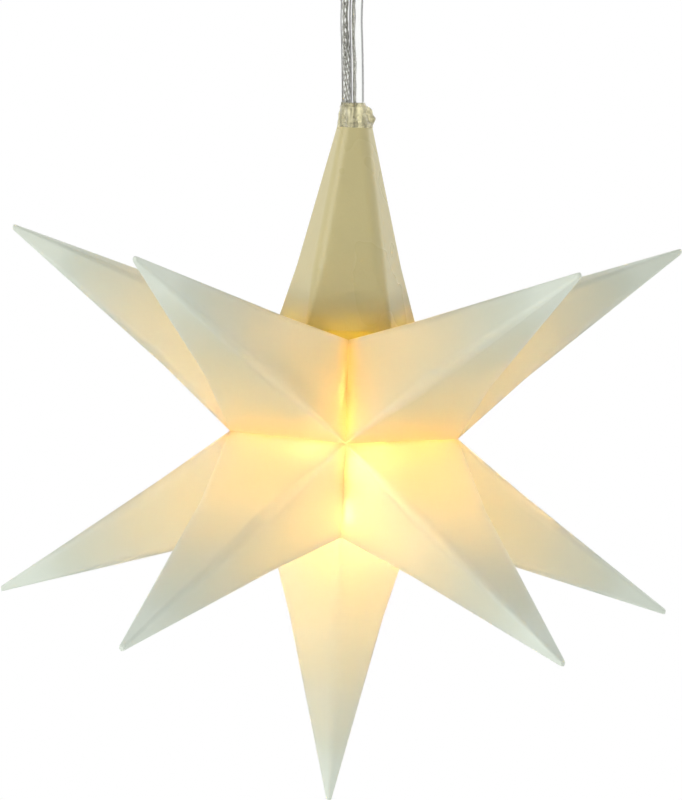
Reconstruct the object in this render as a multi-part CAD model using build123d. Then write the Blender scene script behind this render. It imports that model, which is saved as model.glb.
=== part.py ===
from build123d import *
import math
import os

# Star outline, measured from the star's centre to the sharp corners before rounding
star_centre_z = -112.6
arm_count = 5
arm_apex_radius = 66.2
arm_apex_height = 34.3
equator_radius = 21.3
pentagon_radius = 13.4
pentagon_height = 17.5
axis_apex_height = 68.4
cap_top_height = 54.2

# Moulded shells
wall = 1.0
tip_rounding = 0.5
lip_share = 0.08
lip_thickness = 0.8
seam_gap = 0.02
cap_base_height = 18.8
cap_floor = 1.0
spigot_top_radius = 10.3
spigot_end_radius = 9.2
spigot_end_height = 15.2
spigot_bore_radius = 8.3
ridge_share = 0.3
arm_ridge_radius = 2.0
cap_ridge_radius = 3.0
base_corner_radius = 0.2
dome_angles = (70, 40)
round_share = 0.8
solid_tip_walls = 2.2
tip_hollow_corner = 0.4
cap_hollow_corner = 1.6

# Clips that hold the lips of neighbouring points together
clip_length = 5.0
clip_thickness = 0.7
clip_reach = 1.1
clip_play = 0.22
clip_end_play = 0.8

# Leads
lead_diameter = 2.0
lead_core_diameter = 1.0
lead_core_play = 0.05
lead_spacing = 2.1
lead_drift = 1.5
lead_straight_height = 79.0
lead_bend_rise = 4.0
lead_bend_length = 3.8
lead_bend_gap = 0.8
lead_end_height = 40.0

# Clear grommet and crimp at the cap
grommet_height = 4.4
grommet_base_radius = 3.3
grommet_top_radius = 2.4
grommet_neck_radius = 2.55
grommet_neck_play = 0.05
grommet_flange_play = 0.2
grommet_flange_height = 1.4
slot_play = 0.03
crimp_wall = 0.6
crimp_height = 4.0
cap_roof_height = 47.6

# Lamp
plate_height = 22.0
plate_thickness = 2.0
plate_play = 0.08
stem_radius = 2.5
stem_bore_radius = 1.9
stem_flange_radius = 4.5
stem_flange_thickness = 1.5
stem_head_height = 3.0
stem_ring_radius = 4.0
stem_ring_height = 1.5
fit_play = 0.05
stem_end_gap = 1.6
post_radius = 3.4
post_socket_depth = 4.0
post_end_margin = 1.5
post_floor = 1.2
lamp_tail_diameter = 1.2
lamp_tail_spacing = 1.5
lamp_tail_gap = 0.4
board_width = 3.6
board_thickness = 0.8
board_gap = 0.4
resistor_radius = 0.65
resistor_length = 3.0
resistor_rise = 3.2
led_radius = 1.5
led_flange_radius = 1.8
led_flange_thickness = 0.6
led_barrel_length = 3.2
led_pad_radius = 2.1
led_pad_step = 0.1
led_leg_radius = 0.25
led_leg_spacing = 1.2
led_leg_end = 2.1
led_hole_radius = 1.1
led_front_height = -13.4
led_right_height = -4.5
led_left_height = -3.0
led_upper_height = 8.0
led_back_height = 0.0
# Azimuths are measured from the viewer's side
led_front_azimuth = 12.0
led_right_azimuth = 55.0
led_left_azimuth = 305.0
led_upper_azimuth = 352.0
led_back_azimuth = 180.0

# Ceiling fitting
rose_radius = 22.0
rose_wall = 1.6
rose_depth = 20.0
rose_floor = 2.0
rose_edge_radius = 5.0
ceiling_gap = 0.5
plate_radius = 17.0
base_plate_thickness = 3.5
fixing_spacing = 24.0
fixing_hole_radius = 2.2
supply_hole_radius = 4.0
supply_hole_offset = 11.0
lug_count = 3
lug_radius = 20.0
lug_thickness = 1.5
lug_half_angle = 20.0
tab_half_angle = 13.0
tab_gap = 0.3
tab_thickness = 1.2
turning_gap = 0.4
bush_bore_radius = 3.0
bush_radius = 5.0
bush_flange_radius = 6.6
bush_flange_thickness = 1.2
bush_flare = 1.2
pivot_depth = 18.6
saddle_width = 13.0
saddle_depth = 5.0
saddle_height = 9.5
clamp_bar_thickness = 1.8
clamp_bar_height = 3.2
clamp_screw_radius = 1.1
clamp_screw_head_radius = 1.7
clamp_screw_head_height = 1.2
clamp_screw_spacing = 9.0
terminal_width = 15.0
terminal_depth = 9.0
terminal_height = 7.2
terminal_offset = 5.0
terminal_spacing = 7.0
terminal_tube_radius = 2.0
terminal_bore_radius = 1.2
terminal_level = -6.9
terminal_screw_radius = 0.9
terminal_screw_head_radius = 1.5
terminal_screw_head_height = 1.0
bare_end_length = 6.3

led_places = [
    ("front", led_front_azimuth, led_front_height),
    ("right", led_right_azimuth, led_right_height),
    ("left", led_left_azimuth, led_left_height),
    ("upper", led_upper_azimuth, led_upper_height),
    ("back", led_back_azimuth, led_back_height),
]
led_seat = post_radius + led_pad_step
stem_end_height = led_upper_height + stem_end_gap
post_top_height = stem_end_height + post_socket_depth
post_end_height = led_front_height - led_pad_radius - post_end_margin
half_turn = 180.0 / arm_count
full_step = 360.0 / arm_count


def around(azimuth, radius, height):
    turn = math.radians(azimuth)
    return Vector(radius * math.sin(turn), -radius * math.cos(turn), height)


def inset(points, distances):
    # Corner positions after each side of a closed outline moves inwards by its own distance
    count = len(points)
    lines = []
    for number in range(count):
        x0, y0 = points[number]
        x1, y1 = points[(number + 1) % count]
        length = math.hypot(x1 - x0, y1 - y0)
        nx, ny = -(y1 - y0) / length, (x1 - x0) / length
        lines.append((nx, ny, nx * x0 + ny * y0 + distances[number]))
    corners = []
    for number in range(count):
        a0, b0, c0 = lines[number - 1]
        a1, b1, c1 = lines[number]
        det = a0 * b1 - a1 * b0
        corners.append(((c0 * b1 - c1 * b0) / det, (a0 * c1 - a1 * c0) / det))
    return corners


def drawn_in(points, focus, share):
    return [(x + share * (focus.X - x), y + share * (focus.Y - y)) for x, y in points]


def side_distances(points, focus):
    count = len(points)
    found = []
    for number in range(count):
        x0, y0 = points[number]
        x1, y1 = points[(number + 1) % count]
        length = math.hypot(x1 - x0, y1 - y0)
        found.append(((x1 - x0) * (focus.Y - y0) - (y1 - y0) * (focus.X - x0)) / length)
    return found


def section(plane, points, height, corner):
    outline = Polygon(*points, align=None)
    return plane.offset(height) * fillet(outline.vertices(), corner)


def slanted(thickness, distances, rise):
    # In-plane width of a wall whose side leans from the outline towards a focus
    return [thickness * math.hypot(rise, reach) / rise for reach in distances]


def point_shell(plane, base, apex, centre, ridge):
    # A hollow moulded point with a rounded tip and lips turned in towards the star's centre
    count = len(base)
    outline = inset(base, [seam_gap / 2] * count)
    reaches = side_distances(outline, apex)
    mean_reach = sum(reaches) / count
    last = 1 - tip_rounding / mean_reach
    outer = []
    for angle in dome_angles:
        size = (1 - last) * math.cos(math.radians(angle))
        rise = last * apex.Z + tip_rounding * math.sin(math.radians(angle))
        corner = round_share * size * mean_reach
        outer.append(section(plane, drawn_in(outline, apex, 1 - size), rise, corner))
    tip_corner = round_share * tip_rounding
    outer.append(section(plane, drawn_in(outline, apex, last), last * apex.Z, tip_corner))
    middle = drawn_in(outline, apex, ridge_share)
    outer.append(section(plane, middle, ridge_share * apex.Z, ridge))
    outer.append(section(plane, outline, 0, base_corner_radius))
    lip_end = drawn_in(outline, centre, lip_share)
    outer.append(section(plane, lip_end, lip_share * centre.Z, base_corner_radius))
    body = loft(outer, ruled=True)

    widths = slanted(wall, reaches, apex.Z)
    lip_widths = slanted(lip_thickness, side_distances(outline, centre), abs(centre.Z))
    roof = 1 - solid_tip_walls * wall / mean_reach
    hollow = []
    roof_outline = inset(drawn_in(outline, apex, roof), widths)
    hollow.append(section(plane, roof_outline, roof * apex.Z, tip_hollow_corner))
    hollow.append(section(plane, inset(middle, widths), ridge_share * apex.Z, ridge / 2))
    hollow.append(section(plane, inset(outline, widths), 0, base_corner_radius))
    past = 2 * lip_share
    mouth = inset(drawn_in(outline, centre, past), lip_widths)
    hollow.append(section(plane, mouth, past * centre.Z, base_corner_radius))
    return body - loft(hollow, ruled=True)


def arm_shell():
    # One four-sided point, upper ring, facing the viewer
    foot = Vector(0, -equator_radius * math.cos(math.radians(half_turn)), 0)
    head = Vector(0, -pentagon_radius * math.cos(math.radians(half_turn)), pentagon_height)
    rise = (head - foot).normalized()
    plane = Plane(origin=foot, x_dir=(1, 0, 0), z_dir=(0, -rise.Z, rise.Y))
    half_low = equator_radius * math.sin(math.radians(half_turn))
    half_high = pentagon_radius * math.sin(math.radians(half_turn))
    height = (head - foot).length
    base = [(-half_low, 0), (half_low, 0), (half_high, height), (-half_high, height)]
    apex = plane.to_local_coords(around(0, arm_apex_radius, arm_apex_height))
    centre = plane.to_local_coords(Vector(0, 0, 0))
    return point_shell(plane, base, apex, centre, arm_ridge_radius)


def pentagon(radius, turn):
    corners = [around(turn + full_step * number, radius, 0) for number in range(arm_count)]
    return [(corner.X, corner.Y) for corner in corners]


def axis_shell():
    # The five-sided point on the star's axis, pointing up
    plane = Plane.XY.offset(pentagon_height)
    apex = Vector(0, 0, axis_apex_height - pentagon_height)
    centre = Vector(0, 0, -pentagon_height)
    return point_shell(plane, pentagon(pentagon_radius, 0), apex, centre, cap_ridge_radius)


def slot_prism(play, bottom, top):
    width = lead_spacing + lead_diameter + 2 * play
    outline = SlotOverall(width, lead_diameter + 2 * play)
    return Pos(0, 0, bottom) * extrude(outline, top - bottom)


def cylinder_between(radius, bottom, top):
    return Pos(0, 0, bottom) * extrude(Circle(radius), top - bottom)


def ring_between(outside, inside, bottom, top):
    return Pos(0, 0, bottom) * extrude(Circle(outside) - Circle(inside), top - bottom)


def cap_radius(height):
    # Corner radius of the cap's outline, on the same slope as the bottom point
    return pentagon_radius * (axis_apex_height - height) / (axis_apex_height - pentagon_height)


def cap_section(height, depth, corner):
    # The cap's corners stand over the middles of the upper points
    outline = pentagon(cap_radius(height), half_turn)
    return section(Plane.XY, inset(outline, [depth] * arm_count), height, corner)


def cap_inradius(height):
    return cap_radius(height) * math.cos(math.radians(half_turn))


def cap_wall():
    face_slope = cap_inradius(pentagon_height) / (axis_apex_height - pentagon_height)
    return wall * math.hypot(1, face_slope)


def top_cap():
    ridge_height = cap_base_height + ridge_share * (cap_top_height - cap_base_height)
    outer = [
        cap_section(cap_top_height, 0, round_share * cap_inradius(cap_top_height)),
        cap_section(ridge_height, 0, cap_ridge_radius),
        cap_section(cap_base_height, 0, base_corner_radius),
    ]
    hollow = [
        cap_section(cap_roof_height, cap_wall(), cap_hollow_corner),
        cap_section(ridge_height, cap_wall(), cap_ridge_radius / 2),
        cap_section(cap_base_height + cap_floor, cap_wall(), base_corner_radius),
    ]
    cap = loft(outer, ruled=True) - loft(hollow, ruled=True)
    spigot_length = cap_base_height - spigot_end_height
    spigot = Cone(spigot_end_radius, spigot_top_radius, spigot_length)
    cap += Pos(0, 0, spigot_end_height + spigot_length / 2) * spigot
    cap -= cylinder_between(spigot_bore_radius, spigot_end_height, cap_base_height + cap_floor)
    bore_radius = grommet_neck_radius + grommet_neck_play
    return cap - cylinder_between(bore_radius, cap_roof_height - wall, cap_top_height)


def seam_edges():
    # The twenty fixed seams: equator, upper uprights, lower uprights, bottom pentagon
    edges = []
    for number in range(arm_count):
        here = full_step * number
        there = here + full_step
        low_here = around(here, pentagon_radius, -pentagon_height)
        low_there = around(there, pentagon_radius, -pentagon_height)
        level_here = around(here, equator_radius, 0)
        level_there = around(there, equator_radius, 0)
        high_here = around(here, pentagon_radius, pentagon_height)
        edges.append((level_here, level_there))
        edges.append((level_here, high_here))
        edges.append((level_here, low_here))
        edges.append((low_here, low_there))
    return edges


def seam_clip(start, end):
    # A U-shaped clip over the two lips, open towards the seam
    along = (end - start).normalized()
    middle = (start + end) * 0.5
    inwards = (middle - along * middle.dot(along)) * -1
    depth = inwards.length * lip_share
    inwards = inwards.normalized()
    plane = Plane(origin=middle, x_dir=inwards, z_dir=along)
    slot = 2 * lip_thickness + seam_gap + 2 * clip_play
    back = depth + clip_end_play
    outside = Pos(back - clip_reach, 0, 0) * Rectangle(
        clip_reach + clip_thickness, slot + 2 * clip_thickness, align=(Align.MIN, Align.CENTER)
    )
    channel = Pos(back, 0, 0) * Rectangle(back * 2, slot, align=(Align.MAX, Align.CENTER))
    profile = outside - channel
    return plane * extrude(profile, clip_length / 2, both=True)


def lead_points(side):
    # Mid-line of one lead, from inside the cap up to its bend under the ceiling fitting
    offset = side * lead_spacing / 2
    top = -pivot_depth - star_centre_z
    first_bend = cap_top_height + grommet_height + lead_bend_rise
    return [
        Vector(offset, 0, lead_end_height),
        Vector(offset, 0, first_bend),
        Vector(offset - lead_drift, 0, lead_straight_height),
        Vector(offset, 0, top),
    ]


def lead_path(side):
    points = lead_points(side)
    radii = []
    for before, here, after in zip(points, points[1:], points[2:]):
        incoming = here - before
        outgoing = after - here
        turn = math.radians(incoming.get_angle(outgoing))
        radii.append(lead_bend_length / math.tan(turn / 2))
    return FilletPolyline(*points, radius=radii), min(radii)


def swept(path, profile):
    start = Plane(origin=path @ 0, z_dir=path % 0)
    return sweep(start * profile, path=path)


def led_frame(azimuth, height):
    # Plane on the post's axis that faces out along one LED
    return Plane(origin=(0, 0, height), x_dir=around(azimuth + 90, 1, 0), z_dir=around(azimuth, 1, 0))


def led(plane):
    flange = cylinder_between(led_flange_radius, led_seat, led_seat + led_flange_thickness)
    dome_level = led_seat + led_flange_thickness + led_barrel_length
    barrel = cylinder_between(led_radius, led_seat, dome_level)
    dome = Pos(0, 0, dome_level) * Sphere(led_radius)
    return plane * (flange + barrel + dome)


def led_leg_pair(plane):
    legs = []
    for side in (-1, 1):
        leg = cylinder_between(led_leg_radius, led_leg_end, led_seat)
        legs.append(plane * (Pos(side * led_leg_spacing / 2, 0, 0) * leg))
    return legs


def lamp_post():
    post = cylinder_between(post_radius, post_end_height, post_top_height)
    post = fillet(post.edges().sort_by(Axis.Z)[0], post_floor)
    for name, azimuth, height in led_places:
        post += led_frame(azimuth, height) * cylinder_between(led_pad_radius, 0, led_seat)
    bore = cylinder_between(stem_radius + fit_play, post_end_height + post_floor, post_top_height)
    post -= bore
    for name, azimuth, height in led_places:
        post -= led_frame(azimuth, height) * cylinder_between(led_hole_radius, 0, led_seat)
    return post


def lamp_stem():
    head = plate_height + plate_thickness + stem_head_height
    stem = cylinder_between(stem_radius, stem_end_height, head)
    stem += cylinder_between(stem_flange_radius, plate_height - stem_flange_thickness, plate_height)
    return stem - cylinder_between(stem_bore_radius, stem_end_height, head)


def lamp_plate():
    top = plate_height + plate_thickness
    depth = cap_wall() + plate_play
    faces = [cap_section(height, depth, cap_ridge_radius) for height in (plate_height, top)]
    hole = cylinder_between(stem_radius + fit_play, plate_height, top)
    return loft(faces, ruled=True) - hole


def stem_ring():
    bottom = plate_height + plate_thickness
    return ring_between(stem_ring_radius, stem_radius + fit_play, bottom, bottom + stem_ring_height)


def lead_grommet():
    top = cap_top_height + grommet_height
    cone = Pos(0, 0, cap_top_height + grommet_height / 2) * Cone(
        grommet_base_radius, grommet_top_radius, grommet_height
    )
    neck = cylinder_between(grommet_neck_radius, cap_roof_height, cap_top_height)
    bottom = cap_roof_height - grommet_flange_height
    flange_radius = cap_inradius(cap_roof_height) - cap_wall() - grommet_flange_play
    flange = cylinder_between(flange_radius, bottom, cap_roof_height)
    return cone + neck + flange - slot_prism(slot_play, bottom, top)


def lead_crimp():
    top = cap_roof_height - grommet_flange_height
    bottom = top - crimp_height
    return slot_prism(crimp_wall, bottom, top) - slot_prism(slot_play, bottom, top)


def lamp_tails():
    tails = []
    for side in (-1, 1):
        end = stem_end_height + lamp_tail_gap
        tail = cylinder_between(lamp_tail_diameter / 2, end, lead_end_height)
        tails.append(Pos(side * lamp_tail_spacing / 2, 0, 0) * tail)
    return tails


def led_board():
    bottom = post_end_height + post_floor
    return Pos(0, 0, bottom) * Box(
        board_width,
        board_thickness,
        stem_end_height - board_gap - bottom,
        align=(Align.CENTER, Align.CENTER, Align.MIN),
    )


def resistor():
    level = post_end_height + post_floor + resistor_rise
    place = Pos(0, board_thickness / 2 + resistor_radius, level)
    return place * Cylinder(resistor_radius, resistor_length)


def ring_piece(inside, outside, bottom, top, middle, half_angle):
    # Part of a flat ring, cut out by a wedge from the axis
    reach = 2 * outside
    corners = [(0, 0)]
    for turn in (-half_angle, half_angle):
        angle = math.radians(middle + turn)
        corners.append((reach * math.cos(angle), reach * math.sin(angle)))
    wedge = Pos(0, 0, bottom) * extrude(Polygon(*corners, align=None), top - bottom)
    return ring_between(outside, inside, bottom, top) & wedge


def bayonet_angles():
    return [90 + 360 / lug_count * number for number in range(lug_count)]


def rose_plate():
    plate = cylinder_between(plate_radius, -base_plate_thickness, 0)
    root = plate_radius - lug_thickness
    lug_top = lug_thickness - base_plate_thickness
    for middle in bayonet_angles():
        plate += ring_piece(root, lug_radius, -base_plate_thickness, lug_top, middle, lug_half_angle)
    for side in (-1, 1):
        hole = cylinder_between(fixing_hole_radius, -base_plate_thickness, 0)
        plate -= Pos(side * fixing_spacing / 2, 0, 0) * hole
    entry = cylinder_between(supply_hole_radius, -base_plate_thickness, 0)
    return plate - Pos(0, -supply_hole_offset, 0) * entry


def rose_cup():
    inside = rose_radius - rose_wall
    with_edge = cylinder_between(rose_radius, -rose_depth, -ceiling_gap)
    outer = fillet(with_edge.edges().sort_by(Axis.Z)[0], rose_edge_radius)
    hollow = cylinder_between(inside, rose_floor - rose_depth, -ceiling_gap)
    hollow = fillet(hollow.edges().sort_by(Axis.Z)[0], rose_edge_radius - rose_wall)
    cup = outer - hollow
    tab_bottom = lug_thickness - base_plate_thickness + tab_gap
    tab_top = tab_bottom + tab_thickness
    root = inside + rose_wall / 2
    for middle in bayonet_angles():
        cup += ring_piece(plate_radius + turning_gap, root, tab_bottom, tab_top, middle, tab_half_angle)
    return cup - cylinder_between(bush_radius, -rose_depth, rose_floor - rose_depth)


def cup_bush():
    bottom = -rose_depth - bush_flange_thickness
    bush = cylinder_between(bush_radius, -rose_depth, rose_floor - rose_depth)
    bush += cylinder_between(bush_flange_radius, bottom, -rose_depth)
    bush -= cylinder_between(bush_bore_radius, bottom, rose_floor - rose_depth)
    flare_middle = Pos(0, 0, bottom + bush_flare / 2)
    return bush - flare_middle * Cone(bush_bore_radius + bush_flare, bush_bore_radius, bush_flare)


def cord_saddle():
    face = -lead_diameter / 2
    block = Box(
        saddle_width, saddle_depth, saddle_height, align=(Align.CENTER, Align.MAX, Align.MAX)
    )
    saddle = Pos(0, face, -base_plate_thickness) * block
    for place in clamp_screw_places():
        saddle -= place * extrude(Circle(clamp_screw_radius), clamp_screw_length())
    return saddle


def clamp_screw_length():
    return lead_diameter + clamp_bar_thickness + saddle_depth


def clamp_level():
    return -base_plate_thickness - saddle_height + clamp_bar_height / 2


def clamp_screw_places():
    # Screw axes run along -Y from the outer face of the clamp bar
    face = lead_diameter / 2 + clamp_bar_thickness
    places = []
    for side in (-1, 1):
        origin = (side * clamp_screw_spacing / 2, face, clamp_level())
        places.append(Plane(origin=origin, x_dir=(1, 0, 0), z_dir=(0, -1, 0)))
    return places


def clamp_bar():
    bar = Box(
        saddle_width, clamp_bar_thickness, clamp_bar_height, align=(Align.CENTER, Align.MIN, Align.CENTER)
    )
    bar = Pos(0, lead_diameter / 2, clamp_level()) * bar
    for place in clamp_screw_places():
        bar -= place * extrude(Circle(clamp_screw_radius), clamp_bar_thickness)
    return bar


def clamp_screws():
    screws = []
    for place in clamp_screw_places():
        shank = extrude(Circle(clamp_screw_radius - fit_play), clamp_screw_length())
        head = Pos(0, 0, -clamp_screw_head_height) * extrude(
            Circle(clamp_screw_head_radius), clamp_screw_head_height
        )
        screws.append(place * (shank + head))
    return screws


def terminal_places():
    places = []
    for side in (-1, 1):
        origin = (side * terminal_spacing / 2, terminal_offset, terminal_level)
        places.append(Plane(origin=origin, x_dir=(1, 0, 0), z_dir=(0, 1, 0)))
    return places


def terminal_screw_places():
    bottom = -base_plate_thickness - terminal_height
    return [
        Pos(side * terminal_spacing / 2, terminal_offset + terminal_depth / 2, bottom) for side in (-1, 1)
    ]


def terminal_block():
    block = Box(
        terminal_width, terminal_depth, terminal_height, align=(Align.CENTER, Align.MIN, Align.MAX)
    )
    block = Pos(0, terminal_offset, -base_plate_thickness) * block
    for place in terminal_places():
        block -= place * extrude(Circle(terminal_tube_radius + fit_play), terminal_depth)
    for place in terminal_screw_places():
        block -= place * extrude(Circle(terminal_screw_head_radius + fit_play), terminal_screw_reach())
    return block


def terminal_screw_reach():
    return terminal_level + base_plate_thickness + terminal_height


def terminal_tubes():
    tubes = []
    wall_ring = Circle(terminal_tube_radius) - Circle(terminal_bore_radius)
    for place, screw_place in zip(terminal_places(), terminal_screw_places()):
        hole = screw_place * extrude(Circle(terminal_screw_radius + fit_play), terminal_screw_reach())
        tubes.append(place * extrude(wall_ring, terminal_depth) - hole)
    return tubes


def terminal_screws():
    # Each stops on the bared conductor in its tube
    screws = []
    for place in terminal_screw_places():
        reach = terminal_screw_reach() - lead_core_diameter / 2
        shank = extrude(Circle(terminal_screw_radius), reach)
        head = extrude(Circle(terminal_screw_head_radius), terminal_screw_head_height)
        screws.append(place * (shank + head))
    return screws


def fitting_tails():
    # The leads' upper ends, from the bend at the outlet up through the clamp to the terminals
    tails = []
    for side in (-1, 1):
        start = Vector(side * lead_spacing / 2, 0, lead_bend_gap - pivot_depth)
        elbow = Vector(side * lead_spacing / 2, 0, terminal_level)
        bend = Vector(side * terminal_spacing / 2, terminal_offset - 2 * fit_play, terminal_level)
        path = FilletPolyline(start, elbow, bend, radius=lead_diameter)
        cover = swept(path, Circle(lead_diameter / 2))
        bare = Line(bend, bend + Vector(0, bare_end_length, 0))
        tails.append(cover + swept(bare, Circle(lead_core_diameter / 2)))
    return tails


def write(name, shapes):
    parts = shapes if isinstance(shapes, list) else [shapes]
    solids = [solid for part in parts for solid in part.solids()]
    export_step(solids[0] if len(solids) == 1 else Compound(children=solids), f"parts/{name}.step")


def at_star(shapes):
    parts = shapes if isinstance(shapes, list) else [shapes]
    return [Pos(0, 0, star_centre_z) * part for part in parts]


os.makedirs("parts", exist_ok=True)

arm = arm_shell()
lower_arm = mirror(arm, about=Plane.XY)
for number in range(arm_count):
    turn = Rot(0, 0, half_turn + full_step * number)
    write(f"upper_point_{number + 1}", at_star(turn * arm))
    write(f"lower_point_{number + 1}", at_star(turn * lower_arm))
bottom = mirror(axis_shell(), about=Plane.XY)
write("bottom_point", at_star(bottom))
write("seam_clips", at_star([seam_clip(start, end) for start, end in seam_edges()]))
write("top_cap", at_star(top_cap()))

write("lead_grommet", at_star(lead_grommet()))
write("lead_crimp", at_star(lead_crimp()))
for name, side in (("left", -1), ("right", 1)):
    path, radius = lead_path(side)
    core_hole = lead_core_diameter / 2 + lead_core_play
    cover = swept(path, Circle(lead_diameter / 2) - Circle(core_hole))
    core = swept(path, Circle(lead_core_diameter / 2))
    write(f"lead_{name}", at_star(cover))
    write(f"lead_{name}_core", at_star(core))
    share = core.volume / (math.pi * (lead_core_diameter / 2) ** 2 * path.length)
    print(f"lead {name}: length {path.length:.2f} mm, least bend radius {radius:.1f} mm")
    print(f"lead {name}: volume over section times length {share:.4f}")
write("lamp_tails", at_star(lamp_tails()))
write("lamp_plate", at_star(lamp_plate()))
write("lamp_stem", at_star(lamp_stem()))
write("stem_ring", at_star(stem_ring()))
write("lamp_post", at_star(lamp_post()))
write("led_board", at_star(led_board()))
write("resistor", at_star(resistor()))
legs = []
for name, azimuth, height in led_places:
    place = led_frame(azimuth, height)
    write(f"led_{name}", at_star(led(place)))
    legs += led_leg_pair(place)
write("led_legs", at_star(legs))

write("rose_plate", rose_plate())
write("rose_cup", rose_cup())
write("cup_bush", cup_bush())
write("cord_saddle", cord_saddle())
write("clamp_bar", clamp_bar())
write("clamp_screws", clamp_screws())
write("terminal_block", terminal_block())
write("terminal_tubes", terminal_tubes())
write("terminal_screws", terminal_screws())
write("fitting_tails", fitting_tails())
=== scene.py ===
import math
import bmesh
import bpy
from mathutils import Matrix, Vector, noise


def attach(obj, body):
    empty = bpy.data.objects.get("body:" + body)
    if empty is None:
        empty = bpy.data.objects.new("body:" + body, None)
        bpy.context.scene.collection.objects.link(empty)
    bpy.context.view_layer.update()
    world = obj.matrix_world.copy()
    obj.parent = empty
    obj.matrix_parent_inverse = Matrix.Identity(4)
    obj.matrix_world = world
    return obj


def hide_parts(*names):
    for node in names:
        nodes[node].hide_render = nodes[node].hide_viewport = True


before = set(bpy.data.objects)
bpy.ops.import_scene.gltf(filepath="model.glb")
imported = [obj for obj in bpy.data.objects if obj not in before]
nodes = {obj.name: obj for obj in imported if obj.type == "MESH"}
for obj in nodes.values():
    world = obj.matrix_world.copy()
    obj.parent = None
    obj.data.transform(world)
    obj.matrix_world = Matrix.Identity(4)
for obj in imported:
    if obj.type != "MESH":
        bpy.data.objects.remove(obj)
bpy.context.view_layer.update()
scene = bpy.context.scene
scene.view_settings.view_transform = "Standard"
# The lamp shines through two faces of each wall, so its light must not be clipped on the way
scene.cycles.sample_clamp_indirect = 0.0
print("stage: frame loaded,", len(nodes), "nodes")


# Object helpers
def addPiece(name, data):
    piece = bpy.data.objects.new(name, data)
    scene.collection.objects.link(piece)
    return piece


def meshPiece(name, mesh):
    data = bpy.data.meshes.new(name)
    mesh.to_mesh(data)
    mesh.free()
    return addPiece(name, data)


def paint(piece, finish):
    piece.data.materials.clear()
    piece.data.materials.append(finish)


# Camera, found by fitting the star's outline to the photograph
cameraView = {
    "centre": (0.0, 0.0, -0.1126),
    "azimuth": -1.47,
    "elevation": 5.46,
    "roll": 2.21,
    "distance": 0.9458,
    "lens": 239.1,
    "acrossShift": 0.00037,
    "upShift": -0.00556,
    "clipStart": 0.01,
}
starCentre = Vector(cameraView["centre"])


def addCamera(v):
    az, el, roll = (math.radians(v[k]) for k in ("azimuth", "elevation", "roll"))
    toward = Vector((math.sin(az) * math.cos(el), -math.cos(az) * math.cos(el), math.sin(el)))
    flat = Vector((math.cos(az), math.sin(az), 0.0))
    upright = toward.cross(flat)
    across = flat * math.cos(roll) + upright * math.sin(roll)
    up = upright * math.cos(roll) - flat * math.sin(roll)
    place = starCentre + toward * v["distance"] - across * v["acrossShift"] - up * v["upShift"]
    data = bpy.data.cameras.new("photoCamera")
    data.lens = v["lens"]
    data.clip_start = v["clipStart"]
    turn = Matrix((across, up, toward)).transposed().to_4x4()
    scene.camera = addPiece("photoCamera", data)
    scene.camera.matrix_world = Matrix.Translation(place) @ turn


addCamera(cameraView)
print("stage: camera")


# Node helpers
def newMaterial(name):
    mat = bpy.data.materials.new(name)
    mat.use_nodes = True
    return mat, mat.node_tree, mat.node_tree.nodes["Principled BSDF"]


def addNode(tree, kind, **settings):
    node = tree.nodes.new(kind)
    for key, value in settings.items():
        setattr(node, key, value)
    return node


# A number is set on its socket, anything else is linked to it
def feed(tree, values, sockets):
    for value, socket in zip(values, sockets):
        if isinstance(value, float):
            socket.default_value = value
        else:
            tree.links.new(value, socket)


def addMath(tree, operation, *values):
    node = addNode(tree, "ShaderNodeMath", operation=operation)
    feed(tree, values, node.inputs)
    return node.outputs[0]


def mixShaders(tree, share, first, second):
    node = addNode(tree, "ShaderNodeMixShader")
    feed(tree, (share, first, second), node.inputs)
    return node.outputs[0]


def objectCoords(tree):
    return addNode(tree, "ShaderNodeTexCoord").outputs["Object"]


def splitAxes(tree, coords):
    node = addNode(tree, "ShaderNodeSeparateXYZ")
    tree.links.new(coords, node.inputs[0])
    return node.outputs["X"], node.outputs["Y"], node.outputs["Z"]


def noiseTexture(tree, coords, scale, detail=3.0):
    tex = addNode(tree, "ShaderNodeTexNoise")
    tex.inputs["Scale"].default_value = scale
    tex.inputs["Detail"].default_value = detail
    tree.links.new(coords, tex.inputs["Vector"])
    return tex.outputs["Fac"]


def ramp(tree, value, stops):
    node = addNode(tree, "ShaderNodeValToRGB")
    elements = node.color_ramp.elements
    while len(elements) < len(stops):
        elements.new(0.5)
    for element, (place, colour) in zip(elements, stops):
        element.position = place
        element.color = (*colour, 1.0)
    tree.links.new(value, node.inputs["Fac"])
    return node.outputs["Color"]


def mapRange(tree, value, low, high, toLow, toHigh):
    node = addNode(tree, "ShaderNodeMapRange")
    node.inputs["From Min"].default_value = low
    node.inputs["From Max"].default_value = high
    node.inputs["To Min"].default_value = toLow
    node.inputs["To Max"].default_value = toHigh
    tree.links.new(value, node.inputs["Value"])
    return node.outputs["Result"]


def bump(tree, height, strength, distance):
    node = addNode(tree, "ShaderNodeBump")
    node.inputs["Strength"].default_value = strength
    node.inputs["Distance"].default_value = distance
    tree.links.new(height, node.inputs["Height"])
    return node.outputs["Normal"]


# One noise drives both colour and gloss, over the span of its values that matters
def colourAndGloss(tree, bsdf, pattern, span, colours, gloss):
    shade = ramp(tree, pattern, list(zip(span, colours)))
    tree.links.new(shade, bsdf.inputs["Base Color"])
    tree.links.new(mapRange(tree, pattern, *span, *gloss), bsdf.inputs["Roughness"])


# Moulded plastics: slight colour drift, uneven gloss and a fine moulded skin
moulding = {
    "span": (0.2, 0.8),
    "glossier": 0.05,
    "duller": 0.06,
    "skinScale": 1400.0,
    "skinDetail": 2.0,
    "skinDepth": 0.0002,
}


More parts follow.
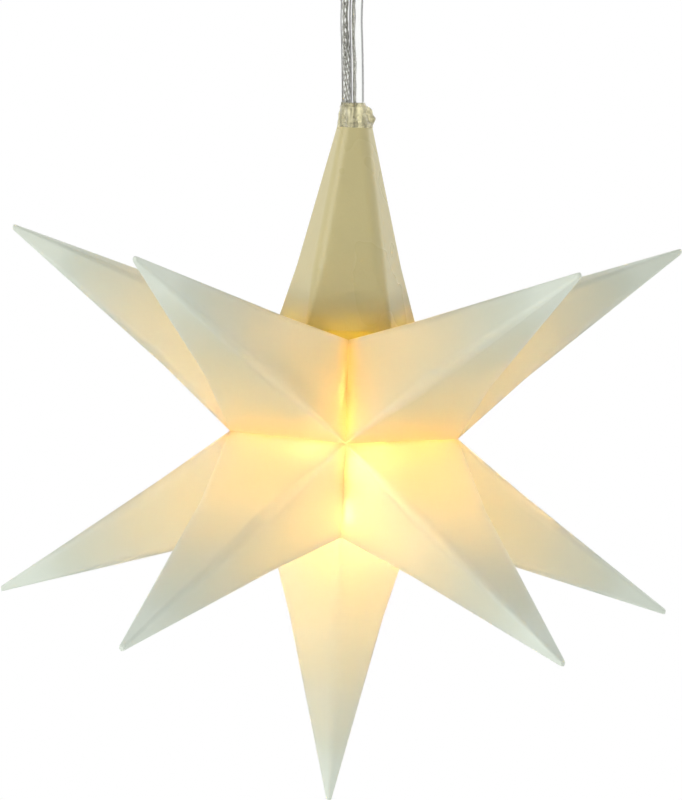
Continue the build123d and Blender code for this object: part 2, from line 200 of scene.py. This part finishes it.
def mouldedPlastic(name, light, dark, roughness, skin=0.15, drift=45.0):
    mat, tree, bsdf = newMaterial(name)
    coords = objectCoords(tree)
    broad = noiseTexture(tree, coords, drift)
    fine = noiseTexture(tree, coords, moulding["skinScale"], moulding["skinDetail"])
    gloss = (roughness - moulding["glossier"], roughness + moulding["duller"])
    colourAndGloss(tree, bsdf, broad, moulding["span"], (dark, light), gloss)
    tree.links.new(bump(tree, fine, skin, moulding["skinDepth"]), bsdf.inputs["Normal"])
    return mat


# Star plastic: lets most light through between base and tip, and least at the tips;
# shares go by the distance from the star's centre, and so does the colour of the light let
# through, a painted glow that is warmer towards the lamp at the centre
starPlastic = {
    "name": "starPlastic",
    "light": (0.735, 0.80, 0.715),
    "dark": (0.695, 0.76, 0.67),
    "paintedGlowTints": [
        (0.018, (0.90, 0.77, 0.46)),
        (0.026, (0.91, 0.84, 0.62)),
        (0.036, (0.95, 0.93, 0.86)),
        (0.048, (0.97, 0.97, 0.96)),
    ],
    "shares": [
        (0.016, 0.40), (0.024, 0.46), (0.032, 0.62),
        (0.042, 0.72), (0.052, 0.60), (0.066, 0.20),
    ],
    "clearShare": 0.36,
    "clearTint": (0.93, 0.88, 0.70),
    "highSeam": 0.88,
    "lowSeam": 0.50,
    "levelSeam": 0.64,
    "clearBlur": 0.50,
    "roughness": 0.38,
}
# Cap plastic: beige, lit through only round its lower rim, where the colour of the light let
# through is a painted glow, yellower nearer the lamp
capPlastic = {
    "name": "capPlastic",
    "light": (0.60, 0.53, 0.27),
    "dark": (0.55, 0.48, 0.235),
    "paintedGlowTints": [(0.021, (0.92, 0.92, 0.36)), (0.030, (0.90, 0.84, 0.42))],
    "shares": [(0.0200, 0.58), (0.0235, 0.36), (0.0280, 0.05)],
    "clearShare": 0.0,
    "clearTint": (0.93, 0.88, 0.70),
    "highSeam": 0.0,
    "lowSeam": 0.0,
    "levelSeam": 0.0,
    "clearBlur": 0.42,
    "roughness": 0.28,
}
plasticReach = 0.08
plasticIor = 1.4

# Heights are from the star's centre, core and spread are angles about its axis
seams = {
    "count": 5,
    "core": 0.02,
    "spread": 0.24,
    "lowHeight": -0.012,
    "highHeight": 0.004,
    "levelRise": 0.024,
    "levelDrop": 0.0015,
}


# The lips along the seams between points are thin, so light comes through there,
# most at the upper seams and just above the level seam
def nearSeam(tree, v):
    x, y, z = splitAxes(tree, objectCoords(tree))
    turn = addMath(tree, "ADD", addMath(tree, "ARCTAN2", x, y), math.pi)
    fold = addMath(tree, "PINGPONG", turn, math.pi / seams["count"])
    centre = starCentre.z
    lowest, highest = centre + seams["lowHeight"], centre + seams["highHeight"]
    share = mapRange(tree, z, lowest, highest, v["lowSeam"], v["highSeam"])
    soft = mapRange(tree, fold, seams["core"], seams["spread"], 1.0, 0.0)
    steep = addMath(tree, "MULTIPLY", share, soft)
    full = v["levelSeam"]
    above = mapRange(tree, z, centre, centre + seams["levelRise"], full, full / 2)
    below = mapRange(tree, z, centre - seams["levelDrop"], centre, 0.0, full)
    return addMath(tree, "MAXIMUM", steep, addMath(tree, "MINIMUM", above, below))


def makeTranslucent(v):
    mat = mouldedPlastic(v["name"], v["light"], v["dark"], v["roughness"])
    tree = mat.node_tree
    away = addNode(tree, "ShaderNodeVectorMath", operation="DISTANCE")
    away.inputs[1].default_value = starCentre
    tree.links.new(objectCoords(tree), away.inputs[0])
    place = mapRange(tree, away.outputs["Value"], 0.0, plasticReach, 0.0, 1.0)
    share = ramp(tree, place, [(r / plasticReach, (s, s, s)) for r, s in v["shares"]])
    # The colour of the light let through is a painted glow, warmer nearer the lamp at the centre
    tint = ramp(tree, place, [(r / plasticReach, colour) for r, colour in v["paintedGlowTints"]])
    glow = addNode(tree, "ShaderNodeBsdfTranslucent")
    tree.links.new(tint, glow.inputs["Color"])
    straight = addNode(tree, "ShaderNodeBsdfRefraction")
    straight.inputs["Color"].default_value = (*v["clearTint"], 1.0)
    straight.inputs["Roughness"].default_value = v["clearBlur"]
    straight.inputs["IOR"].default_value = plasticIor
    passed = mixShaders(tree, v["clearShare"], glow.outputs[0], straight.outputs[0])
    most = addMath(tree, "MAXIMUM", share, nearSeam(tree, v))
    surface = mixShaders(tree, most, tree.nodes["Principled BSDF"].outputs[0], passed)
    tree.links.new(surface, tree.nodes["Material Output"].inputs["Surface"])
    return mat


# LED lenses: each shines mostly from its domed end, away from the lamp's axis
ledGlow = {
    "lens": (0.95, 0.85, 0.62),
    "paleLens": (1.0, 1.0, 0.9),
    "cloudScale": 900.0,
    "cloudSpan": (0.35, 0.65),
    "roughness": 0.15,
    "light": (1.0, 0.58, 0.25),
    "sideRadius": 0.0070,
    "domeRadius": 0.0086,
    "sideShare": 0.35,
    "strength": {"front": 250.0, "right": 270.0, "left": 190.0, "upper": 50.0, "back": 410.0},
}


def makeLedLens(v, which):
    mat, tree, bsdf = newMaterial(f"ledLens_{which}")
    coords = objectCoords(tree)
    cloud = noiseTexture(tree, coords, v["cloudScale"])
    shade = ramp(tree, cloud, list(zip(v["cloudSpan"], (v["lens"], v["paleLens"]))))
    tree.links.new(shade, bsdf.inputs["Base Color"])
    bsdf.inputs["Roughness"].default_value = v["roughness"]
    bsdf.inputs["Emission Color"].default_value = (*v["light"], 1.0)
    level = addNode(tree, "ShaderNodeVectorMath", operation="MULTIPLY")
    level.inputs[1].default_value = (1.0, 1.0, 0.0)
    tree.links.new(coords, level.inputs[0])
    away = addNode(tree, "ShaderNodeVectorMath", operation="LENGTH")
    tree.links.new(level.outputs["Vector"], away.inputs[0])
    full = v["strength"][which]
    radii = v["sideRadius"], v["domeRadius"]
    shine = mapRange(tree, away.outputs["Value"], *radii, v["sideShare"] * full, full)
    tree.links.new(shine, bsdf.inputs["Emission Strength"])
    return mat


clearCloud = {"scale": 300.0, "span": (0.3, 0.7), "paler": 0.03, "duller": 0.05}


def makeClear(name, tint, roughness, ior, clarity):
    mat, tree, bsdf = newMaterial(name)
    cloud = noiseTexture(tree, objectCoords(tree), clearCloud["scale"])
    pale = tuple(min(1.0, c + clearCloud["paler"]) for c in tint)
    gloss = (roughness, roughness + clearCloud["duller"])
    colourAndGloss(tree, bsdf, cloud, clearCloud["span"], (tint, pale), gloss)
    bsdf.inputs["Transmission Weight"].default_value = clarity
    bsdf.inputs["IOR"].default_value = ior
    return mat


metalGrain = {"detail": 4.0, "span": (0.3, 0.7), "duller": 0.15, "bump": 0.1, "depth": 0.0001}


def makeMetal(name, light, dark, roughness, grain):
    mat, tree, bsdf = newMaterial(name)
    scratch = noiseTexture(tree, objectCoords(tree), grain, metalGrain["detail"])
    gloss = (roughness, roughness + metalGrain["duller"])
    colourAndGloss(tree, bsdf, scratch, metalGrain["span"], (dark, light), gloss)
    bsdf.inputs["Metallic"].default_value = 1.0
    dents = bump(tree, scratch, metalGrain["bump"], metalGrain["depth"])
    tree.links.new(dents, bsdf.inputs["Normal"])
    return mat


# Clear: tint, roughness, IOR, clarity. Metal: light, dark, roughness, grain.
# Moulded: light, dark, roughness, skin, drift
finishes = {
    "star": makeTranslucent(starPlastic),
    "cap": makeTranslucent(capPlastic),
    "clearMoulding": makeClear("clearMoulding", (0.93, 0.94, 0.92), 0.12, 1.49, 1.0),
    "glue": makeClear("clearGrommet", (0.93, 0.86, 0.54), 0.13, 1.4, 0.72),
    "leadCover": makeClear("leadCover", (0.95, 0.96, 0.94), 0.03, 1.45, 1.0),
    "wire": makeMetal("tinnedStrand", (0.58, 0.57, 0.51), (0.20, 0.20, 0.17), 0.30, 2500.0),
    "steel": makeMetal("platedSteel", (0.75, 0.75, 0.74), (0.6, 0.6, 0.59), 0.25, 1800.0),
    "brass": makeMetal("terminalBrass", (0.78, 0.62, 0.32), (0.62, 0.47, 0.22), 0.28, 1500.0),
    "white": mouldedPlastic("fittingWhite", (0.66, 0.66, 0.64), (0.62, 0.62, 0.59), 0.38),
    "lamp": mouldedPlastic("lampWhite", (0.80, 0.79, 0.75), (0.75, 0.74, 0.69), 0.45),
    "tail": mouldedPlastic("tailCover", (0.82, 0.82, 0.80), (0.77, 0.77, 0.74), 0.35),
    "bush": mouldedPlastic("softBush", (0.70, 0.70, 0.68), (0.64, 0.64, 0.61), 0.6, 0.3),
    "board": mouldedPlastic(
        "boardCoat", (0.70, 0.74, 0.66), (0.62, 0.67, 0.58), 0.35, 0.1, 200.0),
    "resistor": mouldedPlastic(
        "resistorLacquer", (0.72, 0.58, 0.36), (0.64, 0.50, 0.29), 0.3, 0.1, 300.0),
}
print("stage: materials")

nodeFinish = {
    "star": [n for n in nodes if n.startswith(("upper_point", "lower_point", "bottom_point"))],
    "cap": ["top_cap"],
    "clearMoulding": ["seam_clips"],
    "leadCover": ["fitting_tails"],
    "wire": ["led_legs"],
    "steel": ["lead_crimp", "clamp_screws", "terminal_screws"],
    "brass": ["terminal_tubes"],
    "white": ["rose_plate", "rose_cup", "cord_saddle", "clamp_bar", "terminal_block"],
    "lamp": ["lamp_plate", "lamp_stem", "stem_ring", "lamp_post"],
    "tail": ["lamp_tails"],
    "bush": ["cup_bush"],
    "board": ["led_board"],
    "resistor": ["resistor"],
}
for finish, names in nodeFinish.items():
    for name in names:
        paint(nodes[name], finishes[finish])
for which in ledGlow["strength"]:
    paint(nodes[f"led_{which}"], makeLedLens(ledGlow, which))
print("stage: finishes on the CAD nodes")

# Clear leads, within a millimetre of the CAD leads
leads = {
    "diameter": 0.002,
    "spacing": 0.0021,
    "lean": 0.0006,
    "drift": 0.0019,
    "levels": (-0.0726, -0.0500, -0.0336, -0.0186),
    "exit": -0.0540,
}


def leadRoute(side):
    offset = side * leads["spacing"] / 2
    moves = (0.0, leads["lean"], leads["drift"], 0.0)
    return [(offset - move, 0, level) for move, level in zip(moves, leads["levels"])]


def routeCurve(name, points, radius):
    data = bpy.data.curves.new(name, "CURVE")
    data.dimensions = "3D"
    data.resolution_u = 24
    data.bevel_depth = radius
    data.bevel_resolution = 6
    data.use_fill_caps = True
    line = data.splines.new("NURBS")
    line.points.add(len(points) - 1)
    for point, place in zip(line.points, points):
        point.co = (*place, 1.0)
    line.order_u = 3
    line.use_endpoint_u = True
    return addPiece(name, data)


def routeLine(points):
    probe = routeCurve("routeProbe", points, 0.0)
    shaped = probe.evaluated_get(bpy.context.evaluated_depsgraph_get())
    mesh = bpy.data.meshes.new_from_object(shaped)
    line = [v.co.copy() for v in mesh.vertices]
    bpy.data.objects.remove(probe)
    bpy.data.meshes.remove(mesh)
    return line


# Twisted strands inside each lead, that wander a little towards its middle
strands = {
    "left": {"count": 6, "radius": 0.00009, "circle": 0.00044, "pitch": 0.011, "offset": 0.0},
    "right": {"count": 3, "radius": 0.00016, "circle": 0.00017, "pitch": 0.02, "offset": -0.0005},
    "cuts": 4,
    "sides": 6,
    "wander": 0.25,
    "wanderRate": 900.0,
    "wanderShift": 2.3,
}


def circlePoint(radius, turn):
    return Vector((radius * math.cos(turn), radius * math.sin(turn), 0))


def joinRings(mesh, low, high):
    for k in range(len(low)):
        after = (k + 1) % len(low)
        mesh.faces.new((low[k], low[after], high[after], high[k]))


def strandBundle(name, points, v):
    line = [place + Vector((v["offset"], 0, 0)) for place in routeLine(points)]
    cuts, sides, wander = strands["cuts"], strands["sides"], strands["wander"]
    steps = []
    run = 0.0
    for here, after in zip(line, line[1:]):
        length = (after - here).length
        for k in range(cuts):
            steps.append((here.lerp(after, k / cuts), run + length * k / cuts))
        run += length
    steps.append((line[-1], run))
    mesh = bmesh.new()
    for number in range(v["count"]):
        rings = []
        for place, along in steps:
            turn = 2 * math.pi * (along / v["pitch"] + number / v["count"])
            wave = math.sin(number * strands["wanderShift"] + along * strands["wanderRate"])
            centre = place + circlePoint(v["circle"] * (1.0 - wander + wander * wave), turn)
            corners = [circlePoint(v["radius"], 2 * math.pi * k / sides) for k in range(sides)]
            rings.append([mesh.verts.new(centre + corner) for corner in corners])
        for low, high in zip(rings, rings[1:]):
            joinRings(mesh, low, high)
        mesh.faces.new(list(reversed(rings[0])))
        mesh.faces.new(rings[-1])
    bmesh.ops.recalc_face_normals(mesh, faces=mesh.faces)
    piece = meshPiece(name, mesh)
    for face in piece.data.polygons:
        face.use_smooth = True
    return piece


for word, side in (("left", -1), ("right", 1)):
    route = leadRoute(side)
    cover = routeCurve(f"clearLead_{word}", route, leads["diameter"] / 2)
    paint(cover, finishes["leadCover"])
    core = strandBundle(f"leadStrands_{word}", route, strands[word])
    paint(core, finishes["wire"])
    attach(cover, "pendant")
    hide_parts(f"lead_{word}")
    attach(core, "pendant")
    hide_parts(f"lead_{word}_core")
print("stage: leads")

# Clear grommet on the cap's top, lumpier on its right, with a bulge there
grommet = {
    "bottom": -0.0584,
    "top": -0.0541,
    "baseRadius": 0.0032,
    "topRadius": 0.0024,
    "taper": 0.8,
    "shoulder": 0.80,
    "topShare": 0.84,
    "lean": 0.0004,
    "lump": 0.00046,
    "lumpScale": 950.0,
    "lumpRise": 5.0,
    "smoothShare": 0.4,
    "bulge": 0.0008,
    "bulgeLevel": -0.0563,
    "bulgeHeight": 0.0013,
    "bulgePower": 6,
    "rings": 28,
    "sides": 64,
}


def grommetRing(mesh, v, share):
    level = v["bottom"] + (v["top"] - v["bottom"]) * share
    radius = v["baseRadius"] + (v["topRadius"] - v["baseRadius"]) * share ** v["taper"]
    past = max(0.0, share - v["shoulder"]) / (1.0 - v["shoulder"])
    radius *= max(v["topShare"], math.sqrt(1.0 - past ** 2))
    swell = v["bulge"] * math.exp(-((level - v["bulgeLevel"]) / v["bulgeHeight"]) ** 2)
    lump = v["lump"] * min(1.0, share * v["lumpRise"])
    ring = []
    for k in range(v["sides"]):
        out = circlePoint(1.0, 2 * math.pi * k / v["sides"])
        right = max(0.0, out.x)
        place = out * radius + Vector((-v["lean"] * share, 0, level))
        rough = v["smoothShare"] + (1.0 - v["smoothShare"]) * right
        push = noise.noise(place * v["lumpScale"]) * lump * rough
        push += swell * right ** v["bulgePower"]
        ring.append(mesh.verts.new(place + out * push))
    return ring


def makeGrommet(v):
    mesh = bmesh.new()
    rings = [grommetRing(mesh, v, k / v["rings"]) for k in range(v["rings"] + 1)]
    for low, high in zip(rings, rings[1:]):
        joinRings(mesh, low, high)
    mesh.faces.new(list(reversed(rings[0])))
    mesh.faces.new(rings[-1])
    bmesh.ops.recalc_face_normals(mesh, faces=mesh.faces)
    piece = meshPiece("clearGrommet", mesh)
    for face in piece.data.polygons:
        face.use_smooth = len(face.vertices) == 4
    return piece


clearGrommet = makeGrommet(grommet)
paint(clearGrommet, finishes["glue"])
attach(clearGrommet, "pendant")
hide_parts("lead_grommet")
print("stage: grommet")

# Floor, white surroundings and soft lamps
studio = {
    "floorLevel": -0.42,
    "floorRadius": 1.1,
    "floorColour": (0.82, 0.82, 0.81),
    "floorDark": (0.81, 0.81, 0.80),
    "floorRoughness": 0.7,
    "floorSkin": 0.05,
    "floorDrift": 6.0,
    "front": (0.02, 0.02, 0.02),
    "sides": (0.85, 0.85, 0.85),
    "backdrop": (1.4, 1.4, 1.4),
    "frontToBack": (-0.5, 0.6),
    "sideStop": 0.45,
    "whiteBehind": (0.82, 0.93),
    "edgeGrey": 0.2,
    "lamps": [
        ("leftLamp", (-1.0, -0.7, 0.05), 0.8, 7.3),
        ("rightLamp", (1.0, -0.6, 0.0), 0.8, 1.2),
        ("lowLamp", (0.1, -1.2, -0.55), 0.8, 14.5),
        ("rightRimLamp", (1.0, 0.4, 0.3), 0.8, 2.6),
    ],
}


def addFloor(v):
    mesh = bmesh.new()
    bmesh.ops.create_circle(mesh, cap_ends=True, segments=96, radius=v["floorRadius"])
    floor = meshPiece("paleFloor", mesh)
    floor.data.transform(Matrix.Translation((0, 0, v["floorLevel"])))
    colours = v["floorColour"], v["floorDark"]
    texture = v["floorRoughness"], v["floorSkin"], v["floorDrift"]
    paint(floor, mouldedPlastic("floorPaint", *colours, *texture))


# The room lights the part; the camera and mirror reflections see plain white, and clear
# pieces see white at the front and back with grey between, which draws their outlines
def addWorld(v):
    world = bpy.data.worlds.new("whiteRoom")
    world.use_nodes = True
    tree = world.node_tree
    room = tree.nodes["Background"]
    room.inputs["Strength"].default_value = 1.0
    white = addNode(tree, "ShaderNodeBackground")
    white.inputs["Color"].default_value = (1.0, 1.0, 1.0, 1.0)
    through = addNode(tree, "ShaderNodeBackground")
    way = addNode(tree, "ShaderNodeTexCoord").outputs["Generated"]
    depth = splitAxes(tree, way)[1]
    turn = mapRange(tree, depth, *v["frontToBack"], 0.0, 1.0)
    stops = [(0.0, v["front"]), (v["sideStop"], v["sides"]), (1.0, v["backdrop"])]
    tree.links.new(ramp(tree, turn, stops), room.inputs["Color"])
    straight = addMath(tree, "ABSOLUTE", depth)
    behind = mapRange(tree, straight, *v["whiteBehind"], v["edgeGrey"], 1.0)
    tree.links.new(behind, through.inputs["Color"])
    rays = addNode(tree, "ShaderNodeLightPath").outputs
    refracted = rays["Is Transmission Ray"]
    # Light through the star's walls counts as diffuse too, refracted light as glossy too
    clear = addMath(tree, "SUBTRACT", refracted, rays["Is Diffuse Ray"])
    mirror = addMath(tree, "SUBTRACT", rays["Is Glossy Ray"], refracted)
    seen = addMath(tree, "MAXIMUM", rays["Is Camera Ray"], mirror)
    shader = mixShaders(tree, clear, room.outputs[0], through.outputs[0])
    shader = mixShaders(tree, seen, shader, white.outputs[0])
    tree.links.new(shader, tree.nodes["World Output"].inputs["Surface"])
    scene.world = world


def addLamps(v):
    for name, place, size, power in v["lamps"]:
        data = bpy.data.lights.new(name, "AREA")
        data.size = size
        data.energy = power
        lamp = addPiece(name, data)
        lamp.location = place
        lamp.rotation_euler = (starCentre - Vector(place)).to_track_quat("-Z", "Y").to_euler()


addFloor(studio)
addWorld(studio)
addLamps(studio)
print("stage: studio")

print("stage: done")
